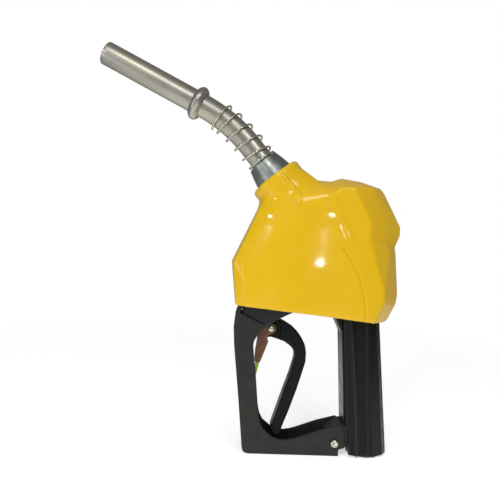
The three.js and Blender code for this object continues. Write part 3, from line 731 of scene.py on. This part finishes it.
def sleeve_relief(point, normal):
    """A ridge on each side of the flank's middle panel, which is a little hollow.

    The ridges lean forward towards the cover, the front one more and more.
    """
    if point.y * normal.y < 0 or abs(point.y) < 8 * MM:
        return 0
    t = (point.z - SLEEVE_LOW.z) / (SLEEVE_HIGH.z - SLEEVE_LOW.z)
    across = point.x - SLEEVE_AXIS
    front = across + (9.6 + 3 * t + 5 * t * t) * MM
    back = across - (0.8 - 4.5 * t) * MM
    rise = 0.8 * MM * bell(front / (1.9 * MM))
    rise += 0.3 * MM * bell(back / (1.6 * MM))
    if front > 0 > back:
        rise -= 0.5 * MM * math.sin(math.pi * front / (front - back))
    if back > 0:
        rise -= 0.08 * back
    return rise * smoothstep(0.5, 0.8, abs(normal.y))


def sleeve_mesh():
    return raised(softened_mesh("grip_sleeve", 0.7 * MM, 5), sleeve_relief)


def lever_mesh():
    """The arm is rounder than its boss, which keeps its step."""
    mesh = softened_mesh("lever", 0.6 * MM, 5)
    return eased(mesh, lambda point, normal: smoothstep(0, 4 * MM, point.x - LEVER_ARM_FROM), 14)


def pan_screw_mesh(node, head, height, shank):
    """A pan-head screw with a cross recess, that points along +Y from the near face of a node."""
    low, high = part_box(node)
    top = low.y
    length = high.y - low.y
    dome = arc((head - 0.7 * height, 0.3 * height), 0.7 * height, 0, 78, 8)
    end = height - length
    profile = [(0, end), (shank, end), (shank, 0), (head - 0.1 * MM, 0), (head, 0.15 * MM)]
    profile += dome + [(0, height)]
    middle = centre_of(node)
    place = frame_at(Vector((middle.x, top + height, middle.z)), Vector((0, -1, 0)))
    slot = (1.15 * head, 0.22 * head, height)
    centre = place @ Matrix.Translation((0, 0, height))
    turns = [Matrix.Rotation(math.radians(a), 4, "Z") for a in (20, 110)]
    recess = [box_mesh(slot, centre @ turn) for turn in turns]
    return carved(domed_mesh(profile, place), *recess)


def nut_mesh():
    """A hexagon nut with its corners chamfered, round the end of the guard's rear screw."""
    low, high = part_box("guard_rear_nut")
    height = high.y - low.y
    radius = (high.x - low.x) / 2
    round_at = 0.93 * radius
    bore = 2.6 * MM
    sides = 96
    place = frame_at(Vector((GUARD_SCREW.x, low.y, GUARD_SCREW.z)), ACROSS)
    bm = bmesh.new()
    rings = []
    for i in range(sides):
        a = 2 * math.pi * i / sides
        flat = radius * math.cos(math.pi / 6) / math.cos((a + math.pi / 6) % (math.pi / 3) - math.pi / 6)
        shoulder = height - max(flat - round_at, 0) - 0.1 * MM
        profile = [(bore, 0), (flat, 0), (flat, shoulder), (min(flat, round_at), height), (bore, height)]
        points = [Vector((r * math.cos(a), r * math.sin(a), h)) for r, h in profile]
        rings.append([bm.verts.new(place @ point) for point in points])
    joined_rings(bm, rings, wrapped=True)
    return mesh_of(bm)


def rivet_mesh():
    """A rivet with a low domed head on each side of the clip."""
    shank = 1.8 * MM
    half = half_across("clip_rivet")
    rise = 1.0 * MM
    head = 2.7 * MM
    seat = half - rise
    dome = arc((head - rise, seat), rise, 0, 80, 6)
    upper = [(shank, seat)] + dome + [(0, half)]
    lower = [(r, -h) for r, h in reversed(upper)]
    return domed_mesh(lower + upper, frame_at(RIVET, ACROSS), 48)


new_piece("spout_tube_shell", spout_tube_mesh(), "spout_tube")
new_piece("stop_ring_bead", stop_ring_mesh(), "spout_stop_ring")
new_piece("anchor_spring_wire", anchor_spring_mesh(), "anchor_spring")
new_piece("collar_cone", collar_mesh(), "spout_collar")
new_piece("cover_skin", cover_mesh(), "body_cover")
new_piece("cast_body", softened_mesh("nozzle_body", 0.9 * MM, 3), "nozzle_body")
new_piece("sleeve_skin", sleeve_mesh(), "grip_sleeve")
new_piece("guard_moulding", softened_mesh("lever_guard", 0.7 * MM, 4), "lever_guard")
new_piece("lever_arm", lever_mesh(), "lever", LEVER_FINISH)
new_piece("clip_plate", softened_mesh("hold_open_clip", 0.3 * MM, 2), "hold_open_clip")
new_piece("rivet_heads", rivet_mesh(), "clip_rivet")
screw_mesh = pan_screw_mesh("guard_rear_screw", 3.5 * MM, 2.2 * MM, 2.2 * MM)
new_piece("rear_screw", screw_mesh, "guard_rear_screw")
new_piece("rear_nut", nut_mesh(), "guard_rear_nut")


# ------------------------------------------------------------------ floor, light and camera
ROOM_LIGHT = 0.24
FLOOR_RADIUS = 0.8
FLOOR_FADE = 0.25  # where the floor starts to thin out


def floor_paint():
    """Pale paint that thins out towards the rim, so that the floor has no edge."""
    s = Shader("floor_paint", (0.92, 0.92, 0.92), 0.8, Specular_IOR_Level=0.1, Emission_Strength=0.55)
    s.surface.inputs["Emission Color"].default_value = (1, 1, 1, 1)
    s.tint(s.span(s.noise(3, 3), 0.4, 0.7, 0, 0.3), (0.88, 0.88, 0.88))
    length = s.tree.nodes.new("ShaderNodeVectorMath")
    length.operation = "LENGTH"
    s.tree.links.new(s.place, length.inputs[0])
    alpha = s.span(length.outputs["Value"], FLOOR_FADE, FLOOR_RADIUS, 1, 0)
    s.tree.links.new(alpha, s.surface.inputs["Alpha"])
    return s.material


def floor():
    bpy.ops.mesh.primitive_circle_add(vertices=96, radius=FLOOR_RADIUS, fill_type="NGON")
    disc = bpy.context.object
    disc.name = "floor"
    disc.data.materials.append(floor_paint())


def backdrop():
    """White behind everything, and a dimmer room for the light that falls on the object."""
    world = bpy.data.worlds.new("studio")
    bpy.context.scene.world = world
    world.use_nodes = True
    tree = world.node_tree
    room = tree.nodes["Background"]
    room.inputs["Color"].default_value = (1, 1, 1, 1)
    room.inputs["Strength"].default_value = ROOM_LIGHT
    white = tree.nodes.new("ShaderNodeBackground")
    white.inputs["Color"].default_value = (1, 1, 1, 1)
    mix = tree.nodes.new("ShaderNodeMixShader")
    seen = tree.nodes.new("ShaderNodeLightPath").outputs["Is Camera Ray"]
    tree.links.new(seen, mix.inputs[0])
    tree.links.new(room.outputs[0], mix.inputs[1])
    tree.links.new(white.outputs[0], mix.inputs[2])
    tree.links.new(mix.outputs[0], tree.nodes["World Output"].inputs["Surface"])


def lamp(name, place, target, size, power, mirrored=True):
    """A round lamp. One that isn't mirrored lights surfaces, but glossy ones don't reflect it."""
    light = bpy.data.lights.new(name, "AREA")
    light.shape = "DISK"
    light.size = size
    light.energy = power
    holder = bpy.data.objects.new(name, light)
    holder.visible_glossy = mirrored
    holder.location = place
    holder.rotation_euler = (Vector(target) - Vector(place)).to_track_quat("-Z", "Y").to_euler()
    bpy.context.scene.collection.objects.link(holder)


def camera():
    """Straight on at half height, close, and turned a little about its own line of sight."""
    data = bpy.data.cameras.new("camera")
    data.lens = 36
    data.sensor_width = 36
    eye = bpy.data.objects.new("camera", data)
    eye.matrix_world = (
        Matrix.Translation((3 * MM, -450 * MM, 177.5 * MM))
        @ Matrix.Rotation(math.radians(90), 4, "X")
        @ Matrix.Rotation(math.radians(1.75), 4, "Z")
    )
    bpy.context.scene.collection.objects.link(eye)
    bpy.context.scene.camera = eye


middle = (0.04, 0, 0.19)
floor()
backdrop()
lamp("key", (-0.5, -0.9, 0.6), middle, 0.5, 1.8, mirrored=False)
lamp("top", (0.1, -0.2, 1.3), middle, 0.8, 2.9, mirrored=False)
lamp("flash", (0.163, -0.79, 0.18), middle, 0.022, 0.16)
lamp("window", (0.165, -0.79, 0.335), middle, 0.024, 0.12)
lamp("glint", (-0.6, -0.7, 0.54), middle, 0.07, 0.7)
lamp("card", (-0.9, -0.6, 0.15), middle, 0.5, 1.2)
lamp("strip", (-0.15, -0.75, 0.84), (-0.09, 0, 0.33), 0.28, 1.6)
lamp("side", (0.33, -0.7, 0.72), (-0.02, 0, 0.27), 0.3, 1.2)
camera()
bpy.context.scene.view_settings.view_transform = "Standard"
